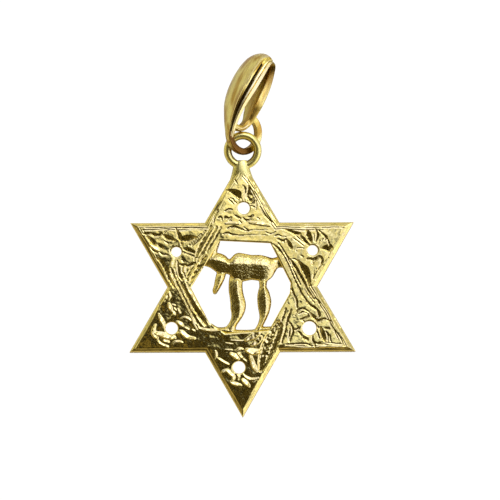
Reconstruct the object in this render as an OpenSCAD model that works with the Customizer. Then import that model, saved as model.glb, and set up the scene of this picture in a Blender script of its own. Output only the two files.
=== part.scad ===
// Star of David pendant with a pierced chai emblem, a soldered ring and a folded leaf bail.
// Millimetres. The origin is the middle of the star's flat back, +Y runs up to the bail, +Z is the front.

/* [Star] */
// Middle of the star to its points
star_r = 15; // [13:0.5:18]
// Thickness of the plate at the crest of its rim
plate_t = 1.8; // [1.6:0.1:2.2]
// Width of the sloping rim, seen from above
rim_w = 0.7; // [0.4:0.05:0.9]
// Drop from the crest of the rim to the star's edge
rim_drop = 0.45; // [0.2:0.05:0.7]
// Width of the flat crest line inside the slope
crest_w = 0.14; // [0.08:0.02:0.24]
// Depth of the field below the crest
field_drop = 0.2; // [0.12:0.02:0.3]

/* [Bands] */
// Width of each of the six interlaced bands
band_w = 1.9; // [1.4:0.1:2.1]
// Number of reeds along a band
reeds = 4; // [3:1:6]
// Height of a band above the field, at its reeds
band_h = 0.16; // [0.1:0.02:0.18]
// Depth of the grooves between the reeds
reed_cut = 0.09; // [0.04:0.01:0.12]
// Length of a band past the corner where it lies on top
band_over = 2.6; // [1:0.2:3.4]

/* [Flowers] */
// Usual diameter of the hole in the middle of a flower
flower_hole_d = 1.4; // [1:0.1:1.6]
// Petals of each flower
petals = 8; // [6:1:10]
// Middle of the hole to the tip of a petal
petal_r = 2.15; // [1.7:0.05:2.3]
// Width of a petal
petal_w = 0.95; // [0.6:0.05:1.2]
// Height of a petal above the field
petal_h = 0.17; // [0.1:0.01:0.19]

/* [Window and emblem] */
// Middle of the star to a corner of the window
window_r = 6; // [5.4:0.1:6.3]
// Height of the emblem's rounded face above the star's back
emblem_top = 1.66; // [1.4:0.02:1.75]
// Height of the emblem's own back above the star's back
emblem_back = 0.15; // [0.1:0.05:0.4]

/* [Soldered ring] */
// Outer diameter of the ring
ring_d = 4.3; // [4:0.1:4.8]
// Diameter of the ring's wire
ring_wire = 0.8; // [0.7:0.05:0.9]
// How far the ring's lowest edge lies below the star's point
ring_seat = 1.1; // [0.8:0.05:1.4]
// Height of the wire's middle where it is soldered
ring_z = 1.1; // [0.9:0.02:1.3]
// Upward tilt of the ring
ring_tilt = 12; // [10:1:15]
// Sideways offset of the ring
ring_x = 0.1; // [0:0.05:0.2]
// Half width of the solder at the point
solder_w = 0.62; // [0.45:0.02:0.7]

/* [Bail] */
// Middle of the bail's lower loop to the top of its upper loop
bail_h = 9.5; // [8.5:0.1:11]
// Depth of the bail, from the middle of the lower loop to the front of the leaf
bail_depth = 3.2; // [3:0.1:3.8]
// Greatest width of the leaf
leaf_w = 4.8; // [3.6:0.1:5]
// Greatest thickness of the leaf
leaf_t = 1.55; // [1:0.05:1.6]
// Greatest width of the back leg
leg_w = 2.4; // [1.8:0.1:3]
// Greatest thickness of the back leg
leg_t = 0.95; // [0.7:0.05:1.1]
// Outer diameter of the lower loop
loop_d = 5.05; // [4.8:0.05:5.4]
// Thickness of the lower loop
loop_t = 0.75; // [0.65:0.05:0.85]
// Turn of the bail about its long axis, from face up
bail_turn = 50; // [48:1:54]
// Lean of the bail to the right
bail_lean = 18; // [10:1:22]
// How far the middle of the loop's lowest wire lies below the middle of the ring
link_sag = 0.2; // [0:0.05:0.4]
// Sideways offset of the loop from the ring
link_side = 0.14; // [0.1:0.02:0.3]

/* [Hidden] */
$fn = 48;
past = 0.5;          // how far a cutter reaches past what it cuts
root = 0.1;          // how deep raised work is rooted in what carries it
band_slant = 0.4;    // how far a band's end leans back towards the star's edge
band_tip = 0.6;      // longest line of a band, as a share of its width from the edge
petal_gap = 0.1;     // bare metal between a hole and its petals
petal_belly = 0.55;  // widest place of a petal, as a share of its length
solder_top = 0.2;    // from the star's point down to the end of the solder
solder_in = 0.05;    // how far the solder's foot stands back from the star's edge
solder_drop = 0.15;  // top of the solder below the crest of the rim
floor_gap = 0.03;    // lowest point of the bail above the star's back plane
gold = "goldenrod";

side_r = star_r / 2;             // middle of the star to each straight side
corner_r = star_r / sqrt(3);     // middle of the star to its inner corners
field_z = plate_t - field_drop;
field_in = rim_w + crest_w;      // from the star's edge to the field
ring_r = (ring_d - ring_wire) / 2;
ring_y = star_r - ring_seat + ring_d / 2;
loop_r = (loop_d - loop_t) / 2;

// Corners of the hand-pierced window: [direction, reach as a share of window_r]
WINDOW = [[4, 0.93], [57, 1.0], [116, 0.99], [181, 0.985],
          [228, 0.94], [250, 0.95], [301, 0.98], [352, 0.92]];

// Flowers: [direction, reach as a share of star_r, hole as a share of flower_hole_d]
FLOWERS = [[88.8, 0.61, 1], [27.2, 0.61, 0.86], [151.9, 0.575, 0.82],
           [210.4, 0.628, 1], [267.5, 0.62, 1], [327.8, 0.605, 1.14]];

// Strokes of the emblem, all as shares of window_r
// Roof stroke, left to right: [across, middle height, half depth]
ROOF = [[-0.84, 0.55, 0.10], [-0.65, 0.51, 0.14], [-0.50, 0.47, 0.18], [-0.36, 0.45, 0.17],
        [-0.235, 0.40, 0.155], [-0.13, 0.405, 0.24], [0.07, 0.365, 0.24], [0.27, 0.375, 0.235],
        [0.45, 0.365, 0.235], [0.57, 0.37, 0.19], [0.65, 0.44, 0.125], [0.80, 0.50, 0.10]];
// Small tail under the left end, downwards: [height, middle across, half width]
TAIL = [[0.42, -0.39, 0.10], [0.26, -0.42, 0.092], [0.11, -0.458, 0.087],
        [-0.04, -0.51, 0.063], [-0.135, -0.535, 0.02]];
// Left leg, downwards
LEFT_LEG = [[0.40, -0.13, 0.13], [0.06, -0.142, 0.114], [-0.16, -0.12, 0.127], [-0.42, -0.09, 0.133],
            [-0.58, -0.125, 0.118], [-0.73, -0.20, 0.105], [-0.92, -0.30, 0.13]];
// Right leg, downwards
RIGHT_LEG = [[0.40, 0.40, 0.10], [0.06, 0.39, 0.06], [-0.12, 0.39, 0.104], [-0.30, 0.405, 0.13],
             [-0.48, 0.408, 0.093], [-0.63, 0.37, 0.063], [-0.80, 0.28, 0.045], [-0.95, 0.26, 0.07]];
// Cross section of a stroke: [share of half width, share of height from the back to the rounded face]
STROKE = [[-1, 0], [-1, 0.52], [-0.66, 0.84], [0, 1], [0.66, 0.84], [1, 0.52], [1, 0]];

// Leaf of the bail, from behind its top down to the lower loop:
// [share of bail_depth, share of bail_h, width as a share of leaf_w, thickness as a share of leaf_t]
LEAF = [[0.04, 0.925, 0.46, 0.50], [0.13, 0.95, 0.62, 0.58], [0.27, 0.925, 0.80, 0.68],
        [0.45, 0.83, 0.93, 0.78], [0.61, 0.68, 1.0, 0.84], [0.72, 0.53, 0.94, 0.88],
        [0.795, 0.41, 0.79, 0.88], [0.86, 0.29, 0.58, 0.80], [0.905, 0.15, 0.42, 0.66]];
// Back leg of the bail, from its seat on the leaf up into the leaf's beginning, with leg_w and leg_t
LEG = [[0.64, 0.02, 0.45, 0.74], [0.28, 0.035, 0.48, 0.76], [0.04, 0.14, 0.58, 0.84],
       [-0.02, 0.26, 0.79, 0.95], [-0.07, 0.38, 0.96, 1.0], [-0.12, 0.52, 1.0, 1.0],
       [-0.15, 0.66, 1.0, 0.9], [-0.12, 0.81, 0.92, 0.76], [-0.02, 0.895, 0.86, 0.68],
       [0.12, 0.94, 0.78, 0.54]];
// Cross section of the bail's strip: [share of width, share of thickness outwards]
STRIP = [[-0.5, -0.42], [-0.5, 0.22], [-0.3, 0.42], [0, 0.5], [0.3, 0.42], [0.5, 0.22],
         [0.5, -0.42], [0.44, -0.5], [-0.44, -0.5]];
// Middle of the lower loop above the star's back, so that the turned loop just clears it
loop_z = floor_gap + max([for (s = STRIP)
    cos(bail_turn) * (loop_r + s[1] * loop_t) - sin(bail_turn) * s[0] * loop_t]);
loop_end = 256;      // turn of the lower loop, from its front to where it meets the back leg
loop_steps = 20;     // pieces that turn is drawn in
smooth_steps = 3;    // pieces between two rows of a table

// Point on the smooth curve through four rows of a table, t of the way from b to c
function between(a, b, c, d, t) =
    (2 * b + (c - a) * t + (2 * a - 5 * b + 4 * c - d) * t * t + (3 * b - a - 3 * c + d) * t * t * t) / 2;

// Rows of a table with smooth rows added between them
function smooth_rows(rows) = concat(
    [for (i = [0:len(rows) - 2], s = [0:smooth_steps - 1])
        between(rows[max(i - 1, 0)], rows[i], rows[i + 1], rows[min(i + 2, len(rows) - 1)],
                s / smooth_steps)],
    [rows[len(rows) - 1]]);

// Closed solid through rings of points
module skin(rings) {
    n = len(rings[0]);
    m = len(rings);
    polyhedron(
        points = [for (ring = rings, p = ring) p],
        faces = concat(
            [[for (j = [n - 1:-1:0]) j]],
            [for (i = [0:m - 2], j = [0:n - 1])
                [i * n + j, i * n + (j + 1) % n, (i + 1) * n + (j + 1) % n, (i + 1) * n + j]],
            [[for (j = [0:n - 1]) (m - 1) * n + j]]));
}

// One of the two big triangles, with the slope of the rim along its three sides
module triangle_plate() {
    slope = atan(rim_drop / rim_w);
    difference() {
        linear_extrude(plate_t) circle(r = star_r, $fn = 3);
        for (k = [0:2])
            rotate(60 + 120 * k)
                translate([side_r, 0, plate_t - rim_drop])
                    rotate([0, slope, 0])
                        translate([-3 * rim_w, -star_r, 0])
                            cube([6 * rim_w, 2 * star_r, plate_t]);
    }
}

// Outline of the star, drawn in from its edge
module star_outline(inset) {
    for (turn = [90, -90]) rotate(turn) circle(r = star_r - 2 * inset, $fn = 3);
}

module window_outline() {
    polygon([for (c = WINDOW) window_r * c[1] * [cos(c[0]), sin(c[0])]]);
}

// Band above the window, reeded along its length: it runs over the next band at its right end
// and under the other at its left
module band() {
    far = side_r - crest_w;
    near = far - band_w;
    reed_w = band_w / reeds;
    foot = field_z - root;
    top = field_z + band_h;
    under_far = (far / 2 - near) / cos(30) - root;
    under_near = -near * tan(30) - root;
    over = corner_r / 2 + band_over;
    intersection() {
        translate([-star_r, 0, 0])
            rotate([90, 0, 90])
                linear_extrude(2 * star_r)
                    polygon(concat([[far, foot], [near, foot], [near, top - reed_cut]],
                        [for (k = [0:reeds - 1]) each [[near + (k + 0.5) * reed_w, top],
                                                       [near + (k + 1) * reed_w, top - reed_cut]]]));
        linear_extrude(plate_t)
            polygon([[under_far, far + past], [under_far, far], [under_near, near],
                     [under_near, near - past], [corner_r / 2, near - past],
                     [over, far - band_tip * band_w], [over - band_slant, far + past]]);
    }
}

// Pointed petal with a ridge, lying along +X from the middle of its flower
module petal(hole_r) {
    inner = hole_r + petal_gap;
    widest = inner + (petal_r - inner) * petal_belly;
    outline = [[inner, 0], [widest, -petal_w / 2], [petal_r, 0], [widest, petal_w / 2]];
    polyhedron(
        points = concat([for (z = [field_z - root, field_z], p = outline) [p[0], p[1], z]],
                        [[widest, 0, field_z + petal_h]]),
        faces = concat([[0, 1, 2, 3]], [for (k = [0:3]) [(k + 1) % 4, k, k + 4, (k + 1) % 4 + 4]],
                       [for (k = [0:3]) [(k + 1) % 4 + 4, k + 4, 8]]));
}

module flower_at(f) {
    rotate(f[0]) translate([star_r * f[1], 0, 0]) children();
}

// Stroke of the emblem through the rows of its table; upright strokes run down the page
module stroke(rows, upright) {
    rings = [for (r = smooth_rows(rows))
        [for (s = STROKE) let (
            along = window_r * r[0],
            side = window_r * (r[1] + s[0] * r[2]),
            z = emblem_back + s[1] * (emblem_top - emblem_back))
            upright ? [side, along, z] : [along, side, z]]];
    skin(rings);
}

module soldered_ring() {
    translate([ring_x, ring_y - ring_r, ring_z])
        rotate([ring_tilt, 0, 0])
            translate([0, ring_r, 0])
                rotate_extrude() translate([ring_r, 0]) circle(d = ring_wire);
    // Solder that widens the point round the ring's foot
    foot_y = star_r - 2 * ring_seat;
    foot_w = 2 * ring_seat / sqrt(3) - solder_in;
    linear_extrude(plate_t - solder_drop)
        polygon([[ring_x - solder_w, star_r - solder_top], [-foot_w, foot_y],
                 [foot_w, foot_y], [ring_x + solder_w, star_r - solder_top]]);
}

module star() {
    color(gold) {
        difference() {
            union() {
                difference() {
                    union() for (turn = [90, -90]) rotate(turn) triangle_plate();
                    translate([0, 0, field_z]) linear_extrude(plate_t) star_outline(field_in);
                }
                for (k = [0:5]) rotate(60 * k) band();
                for (f = FLOWERS, k = [0:petals - 1])
                    flower_at(f) rotate(360 * (k + 0.5) / petals) petal(flower_hole_d * f[2] / 2);
                soldered_ring();
            }
            translate([0, 0, -past]) linear_extrude(plate_t + 2 * past) window_outline();
            for (f = FLOWERS)
                flower_at(f) translate([0, 0, -past])
                    cylinder(d = flower_hole_d * f[2], h = plate_t + 2 * past);
        }
        stroke(ROOF, false);
        for (rows = [TAIL, LEFT_LEG, RIGHT_LEG]) stroke(rows, true);
    }
}

// Rings of a strip whose middle line runs in the bail's side plane,
// from rows of [depth, height, width, thickness]
function strip_rings(rows) = [for (i = [0:len(rows) - 1]) let (
    r = rows[i],
    ahead = rows[min(i + 1, len(rows) - 1)],
    behind = rows[max(i - 1, 0)],
    run = [ahead[0] - behind[0], ahead[1] - behind[1]],
    out = [-run[1], run[0]] / norm(run))
    [for (s = STRIP) [s[0] * r[2], r[1] + s[1] * r[3] * out[1], r[0] + s[1] * r[3] * out[0]]]];

// Rows in shares turned into sizes
function sized(rows, w, t) = [for (r = rows) [r[0] * bail_depth, r[1] * bail_h, r[2] * w, r[3] * t]];

module bail() {
    loop_rows = [for (i = [0:loop_steps]) let (a = loop_end * i / loop_steps)
        [loop_r * cos(a), -loop_r * sin(a), loop_t, loop_t]];
    leaf_rows = smooth_rows(concat(sized(LEAF, leaf_w, leaf_t), [loop_rows[0]]));
    color(gold)
        translate([ring_x + link_side, ring_y - link_sag + loop_r, loop_z])
            rotate([0, 0, -bail_lean])
                rotate([0, -bail_turn, 0]) {
                    skin(strip_rings(concat(leaf_rows, [for (i = [1:loop_steps]) loop_rows[i]])));
                    skin(strip_rings(smooth_rows(sized(LEG, leg_w, leg_t))));
                }
}

star();
bail();
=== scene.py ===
"""Looks for the gold star pendant, which lies face up. The tables hold millimetres in the frame of the
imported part: the origin is the middle of the star's flat back, +Y runs up to the bail and +Z is the front."""
from math import cos, pi, radians, sin, sqrt

import bmesh
import bpy
import numpy as np
from mathutils import Matrix, Vector, noise


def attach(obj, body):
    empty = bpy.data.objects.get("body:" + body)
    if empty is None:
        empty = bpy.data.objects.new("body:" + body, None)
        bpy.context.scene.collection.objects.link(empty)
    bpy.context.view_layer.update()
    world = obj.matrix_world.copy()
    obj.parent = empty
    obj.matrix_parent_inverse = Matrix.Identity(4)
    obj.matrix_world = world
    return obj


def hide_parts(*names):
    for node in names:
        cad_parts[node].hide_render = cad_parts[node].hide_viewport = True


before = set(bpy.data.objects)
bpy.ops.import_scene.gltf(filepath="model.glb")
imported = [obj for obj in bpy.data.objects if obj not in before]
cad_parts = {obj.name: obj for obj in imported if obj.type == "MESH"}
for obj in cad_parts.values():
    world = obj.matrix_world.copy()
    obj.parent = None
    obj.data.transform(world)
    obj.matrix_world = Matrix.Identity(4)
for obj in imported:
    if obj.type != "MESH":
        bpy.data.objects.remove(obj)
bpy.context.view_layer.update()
MM = 0.001


def polar(radius, degrees):
    """Point of the plan at a radius and an angle."""
    return radius * cos(radians(degrees)), radius * sin(radians(degrees))


LIGHT_SIDE = Vector(polar(1, 59))   # the softbox stands towards the upper right
LIT_SIDE = Vector(polar(1, 42))     # and walls that face this way catch it

# Plate, with the sizes of its solid. The window's rows are (degrees, radius), the holes' (x, y, radius)
STAR_R = 15.0
SIDE_R = STAR_R / 2
CORNER_R = STAR_R / sqrt(3)
FIELD_Z = 1.65
SOLDER_END = 14.8   # the plate ends here, inside the solder
WINDOW = [(4, 5.58), (57, 6.0), (116, 5.94), (181, 5.91), (228, 5.64), (250, 5.7), (301, 5.88), (352, 5.52)]
WINDOW_R = max(r for _, r in WINDOW)
WINDOW_XY = np.array([polar(r, degrees) for degrees, r in WINDOW])
HOLES = [(0.19, 9.15, 0.70), (8.14, 4.18, 0.60), (-7.61, 4.06, 0.575), (-8.13, -4.77, 0.70),
         (-0.41, -9.29, 0.70), (7.68, -4.84, 0.80)]
DRAFT = 0.3   # how much wider the window and the holes are at the back
HOLE_LIP, WINDOW_LIP = (0.14, 0.08), (0.16, 0.10)   # width and depth of the worn lip round each
CELLS = 128   # small triangles along each side of the sheet that the plate is cut from
NEAR, SLIVER = 0.1, 0.02   # how far the sheet's corners move to meet an edge, and what is too narrow to keep

# Sloping rim
RIM_DROP, RIM_W = 0.32, 0.52
RIM_ROUND = ((0, 0.22, 0.85, 1), (1, 0.58, 0.08, 0))   # its rounding: shares of its width, and of its drop
RIM_WANDER, RIM_STEP = 0.25, 2   # share by which its width varies, and over what distance
# Lines along it: (place, half width, depth), their strength, how much it varies and over what distance.
# Those on the field fade out towards the lower left
RIM_LINES = [(0.68, 0.1, 0.035), (0.92, 0.09, 0.03), (0.34, 0.09, 0.03), (0.18, 0.07, 0.02)]
LINE_SHARE, LINE_CHANGE, LINE_STEP = 0.7, 2.0, 3
FADE_STEP, FADE_START = 3, 2

FALL, FALL_START = 0.010, 3.5   # slope by which the lower left of the front falls away, and where it starts
STEEPEST = 0.31   # height of a stroke as a share of its width, at most
SHAKE, SHAKE_STEP = 0.05, 0.6   # how far the graver wanders, and over what distance
PRESS, PRESS_STEP = 0.4, 0.35   # how unevenly it presses, as a share, and over what distance
SHADE_WALL, PETAL_WALL = 0.12, 0.15   # share of a stroke's width that its steep wall takes
HAMMERED = [(1.1, 0.010), (0.5, 0.0055), (0.26, 0.0025)]   # waviness from finishing: (spacing, depth)

# Emblem. Its level strokes have rows of (x, middle y, half depth, height), its upright ones of
# (y, middle x, half width, height), where the height is a share of the emblem's own
EMBLEM_TOP, EMBLEM_BACK = 1.66, 0.15
EASED = 0.07   # what easing the fused skin takes off each side
LEVEL_STROKES = {
    "roof": [(-4.9, 3.0, 0.4, 0.8), (-4.2, 3.1, 0.62, 0.9), (-3.6, 2.98, 0.78, 0.97),
        (-3.0, 2.83, 1.1, 1), (-2.5, 2.73, 1.12, 1), (-2.0, 2.6, 1.0, 0.98), (-1.6, 2.36, 0.86, 0.96),
        (-1.3, 2.3, 1.12, 0.98), (-0.95, 2.33, 1.45, 1), (-0.5, 2.28, 1.66, 1), (0.0, 2.28, 1.6, 1),
        (0.5, 2.28, 1.5, 1), (1.0, 2.28, 1.41, 0.98), (1.5, 2.25, 1.44, 0.99), (2.0, 2.2, 1.48, 1),
        (2.5, 2.08, 1.5, 1), (3.0, 2.15, 1.28, 0.96), (3.4, 2.28, 1.06, 0.86), (3.75, 2.6, 0.8, 0.76),
        (4.1, 2.9, 0.6, 0.72), (4.7, 2.85, 0.55, 0.74)],
    "lower_lip": [(-4.3, -4.35, 0.16, 0.9), (-3.6, -4.62, 0.34, 0.9), (-3.0, -5.02, 0.38, 0.9),
        (-2.4, -5.1, 0.42, 0.9), (-1.8, -5.15, 0.5, 0.9), (-1.2, -5.3, 0.36, 0.9), (0.0, -5.3, 0.3, 0.9),
        (1.2, -5.25, 0.3, 0.9), (2.0, -5.05, 0.38, 0.9), (2.8, -4.98, 0.34, 0.9), (3.6, -4.8, 0.2, 0.9)],
}
UPRIGHT_STROKES = {
    "tail": [(2.0, -2.5, 0.4, 0.7), (1.6, -2.52, 0.48, 0.84), (1.2, -2.6, 0.5, 0.94),
        (0.7, -2.75, 0.46, 0.96), (0.2, -2.92, 0.38, 0.94), (-0.2, -3.1, 0.34, 0.92),
        (-0.5, -3.2, 0.25, 0.86), (-0.75, -3.27, 0.1, 0.7)],
    "left_leg": [(1.5, -0.8, 0.6, 0.7), (1.1, -0.82, 0.7, 0.8), (0.6, -0.84, 0.74, 0.95),
        (0.0, -0.85, 0.75, 1), (-0.5, -0.82, 0.77, 1), (-1.0, -0.73, 0.78, 1), (-1.5, -0.63, 0.82, 1),
        (-2.0, -0.56, 0.84, 1), (-2.5, -0.57, 0.82, 1), (-3.0, -0.6, 0.7, 0.98),
        (-3.5, -0.73, 0.58, 0.96), (-4.0, -0.98, 0.5, 0.94), (-4.4, -1.25, 0.5, 0.93),
        (-4.8, -1.5, 0.6, 0.92), (-5.3, -1.6, 0.75, 0.9)],
    "right_leg": [(1.5, 2.33, 0.4, 0.7), (1.0, 2.35, 0.45, 0.82), (0.5, 2.33, 0.4, 0.94),
        (0.0, 2.33, 0.38, 0.95), (-0.5, 2.38, 0.57, 0.98), (-1.0, 2.41, 0.69, 1), (-1.5, 2.45, 0.75, 1),
        (-2.0, 2.47, 0.73, 1), (-2.5, 2.45, 0.65, 0.98), (-3.0, 2.43, 0.53, 0.97),
        (-3.5, 2.35, 0.4, 0.95), (-4.0, 2.18, 0.33, 0.94), (-4.4, 2.0, 0.3, 0.93),
        (-4.8, 1.8, 0.34, 0.92), (-5.2, 1.7, 0.4, 0.9)],
    "upper_web": [(5.7, -2.75, 0.12, 0.85), (5.0, -3.02, 0.25, 0.88), (4.4, -3.3, 0.34, 0.9),
        (3.8, -3.6, 0.5, 0.9), (3.2, -3.9, 0.5, 0.85)],
}
# Section of a stroke: (share of half width, share of height). Its face leans away from the softbox, and
# a rounded bevel lies on the side towards it
EMBLEM_FACE = [(-0.8, 0), (-1, 0.64), (-0.96, 0.75), (-0.88, 0.82), (-0.6, 0.875), (-0.3, 0.925),
               (0.0, 0.97), (0.22, 1.0), (0.36, 0.98), (0.52, 0.94), (0.7, 0.88), (0.86, 0.80),
               (0.97, 0.72), (1, 0.64), (0.8, 0)]

# Ring at the top point: the solder's rows are (y, half width, top, shift to the right)
RING_R, RING_WIRE, RING_X, RING_Y, RING_Z, RING_TILT = 1.75, 0.8, 0.1, 16.05, 1.1, 12.0
SOLDER = [(12.2, 1.5, 1.55, -0.03), (12.9, 1.3, 1.63, -0.03), (13.4, 1.14, 1.67, -0.05),
          (14.0, 0.98, 1.68, -0.08), (14.5, 0.86, 1.65, -0.08), (14.85, 0.78, 1.58, -0.06)]
SOLDER_FACE = [(-1, 0), (-1, 0.62), (-0.85, 0.86), (-0.55, 0.95), (-0.25, 0.988), (0, 1), (0.25, 0.996),
               (0.55, 0.97), (0.85, 0.89), (1, 0.62), (1, 0)]

# Bail, with its rows as shares of its sizes: (depth, height, width, thickness)
BAIL_H, BAIL_DEPTH, LEAF_W, LEAF_T, LEG_W, LEG_T = 9.5, 3.2, 4.8, 1.55, 2.6, 0.95
LOOP_R, LOOP_T, LOOP_Z, LOOP_ARC = 2.15, 0.75, 1.806, range(-8, 257, 8)
LOOP_W, LOOP_THICK = 1.18 * LOOP_T, 1.06 * LOOP_T   # its strip is a little stouter
BAIL_TURN, BAIL_LEAN, LINK_SAG, LINK_SIDE = 50.0, 18.0, 0.2, 0.14
LEAF = [(0.15, 0.962, 0.70, 0.52, 0.6), (0.31, 0.955, 0.84, 0.72, 0.5), (0.50, 0.87, 0.89, 0.98, 0.34),
        (0.67, 0.69, 0.92, 1.05, 0.22), (0.76, 0.53, 0.88, 1.0, 0.14), (0.81, 0.39, 0.79, 0.95, 0.08),
        (0.82, 0.26, 0.66, 0.84, 0.02), (0.78, 0.14, 0.50, 0.72, 0.0), (0.72, 0.03, 0.36, 0.62, 0.0),
        (0.65, -0.05, 0.26, 0.56, 0.0), (0.585, -0.115, 0.19, 0.52, 0.0), (0.48, -0.165, 0.12, 0.44, 0.0)]
LEG = [(0.62, 0.015, 0.42, 0.74), (0.22, 0.032, 0.44, 0.76), (0.0, 0.138, 0.52, 0.84),
       (-0.04, 0.26, 0.76, 0.95), (-0.07, 0.38, 0.96, 1.0), (-0.12, 0.52, 1.0, 1.0),
       (-0.15, 0.66, 1.0, 0.9), (-0.13, 0.81, 1.0, 0.76), (-0.03, 0.905, 1.1, 0.68)]
# Sections of the strip, as shares of its width and thickness. The leaf's has a groove on its right side
LEAF_FACE = [(-0.5, -0.45), (-0.5, 0.16), (-0.47, 0.24), (-0.4, 0.32), (-0.3, 0.39), (-0.2, 0.44),
             (-0.1, 0.47), (0, 0.485), (0.1, 0.485), (0.2, 0.482), (0.38, 0.466), (0.394, 0.488),
             (0.42, 0.472), (0.45, 0.36), (0.37, 0.22), (0.375, 0.13), (0.455, 0.07), (0.478, -0.03),
             (0.455, -0.05), (0.458, -0.08), (0.49, -0.1), (0.497, -0.36), (0.44, -0.47), (0.2, -0.5),
             (-0.2, -0.5), (-0.46, -0.5)]
LEG_FACE = [(-0.5, -0.4), (-0.5, 0.22), (-0.48, 0.28), (-0.42, 0.34), (-0.3, 0.42), (-0.2, 0.46),
            (-0.1, 0.49), (0, 0.5), (0.1, 0.49), (0.2, 0.46), (0.3, 0.42), (0.36, 0.39), (0.4, 0.37),
            (0.43, 0.35), (0.46, 0.32), (0.48, 0.29), (0.5, 0.26), (0.505, 0.22), (0.51, 0.17), (0.5, 0.12),
            (0.485, 0.0), (0.465, -0.14), (0.43, -0.32), (0.37, -0.5), (0.0, -0.5), (-0.46, -0.44)]
BLEND = (0.0, 0.15, 0.5, 0.85)   # how much of the leaf's section the strip has in the leaf's first rows
BAIL_PLACE = (Matrix.Translation((RING_X + LINK_SIDE, RING_Y - LINK_SAG + LOOP_R, LOOP_Z))
              @ Matrix.Rotation(radians(-BAIL_LEAN), 4, "Z") @ Matrix.Rotation(radians(-BAIL_TURN), 4, "Y"))

# Finishes of the leaf, by the points of its section that bound them: a nearly black painted shade on the
# groove and on a thin line, and a pale painted highlight on the worn ridge and right edge
GROOVE = set(range(13, 16))
THIN_SHADE_LINE = {18, 19}
HIGHLIT_WORN_EDGES = [set(range(10, 13)), {16, 17}, {20, 21}]   # its ridge and right edge
FOLD_TOP = Vector((0, BAIL_H, 0.3 * BAIL_DEPTH))
GROOVE_START = 2.6   # how far below the top of the fold the groove's painted shade begins
FRONT_START = 0.06   # depth at which the worn edges' pale painted highlight begins, as a share of the bail's

# Painted shade, a brown colour inside the top of the fold and round the lower left of the loop, with the
# values at which it starts and is full
FOLD_MIDDLE = Vector((0, 0.5 * BAIL_H, 0.4 * BAIL_DEPTH))
FOLD_SHADE = 0.7   # how strong it is inside the fold
FOLD_INWARDS = (-0.1, 0.35)   # there by how far the metal faces inwards,
FOLD_HEIGHT = (0.5, 0.82)   # and by its share of the bail's height
LOOP_SLOPE, LOOP_LOW = 0.8, (-17.7, -16.6)   # on the loop by how far down it lies, measured along a slope,
LOOP_AWAY = (-0.72, -0.25)   # and by how far the metal faces away from the bail's front
SHARPEST = radians(38)   # edges of the bail that turn more than this stay sharp


def mm_object(name, bm, smooth=True):
    """Object from a bmesh in millimetres, with its place in its mesh."""
    mesh = bpy.data.meshes.new(name)
    bm.to_mesh(mesh)
    bm.free()
    mesh.transform(Matrix.Scale(MM, 4))
    if smooth:
        for face in mesh.polygons:
            face.use_smooth = True
    obj = bpy.data.objects.new(name, mesh)
    bpy.context.scene.collection.objects.link(obj)
    return obj


def curve(rows, steps):
    """Rows on the smooth curve through a table's rows."""
    rows = np.array(rows, float)
    if len(rows) < 2:
        return rows
    ends = np.vstack([rows[:1], rows, rows[-1:]])
    out = []
    for a, b, c, d in zip(ends, ends[1:], ends[2:], ends[3:]):
        bend, twist = 2 * a - 5 * b + 4 * c - d, 3 * b - a - 3 * c + d
        for t in np.arange(steps) / steps:
            out.append((2 * b + (c - a) * t + bend * t**2 + twist * t**3) / 2)
    return np.vstack([out, rows[-1:]])


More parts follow.
